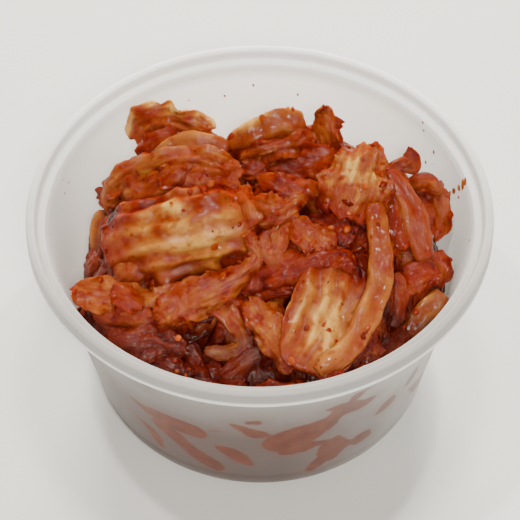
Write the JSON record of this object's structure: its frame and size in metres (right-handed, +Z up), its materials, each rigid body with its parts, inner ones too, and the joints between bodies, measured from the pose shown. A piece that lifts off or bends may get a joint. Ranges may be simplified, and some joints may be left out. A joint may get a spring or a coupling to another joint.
{
  "type": "tub of cabbage kimchi",
  "caption": "Heap of cut cabbage kimchi in a round, frosted, thin-walled take-away tub with a rolled rim; it stands on a flat ring base.",
  "frame": {"origin": "centre of the tub's base, on the surface it stands on", "axes": "+Z up out of the tub's mouth; -Y towards the side where the heap is lowest; +X to the right of that side"},
  "size_m": [0.118, 0.118, 0.069],
  "materials": {
    "tub": "frosted translucent polypropylene, softly glossy",
    "kimchi": null
  },
  "bodies": {
    "root": {"tub": "tub", "kimchi": "kimchi"}
  },
  "joints": []
}
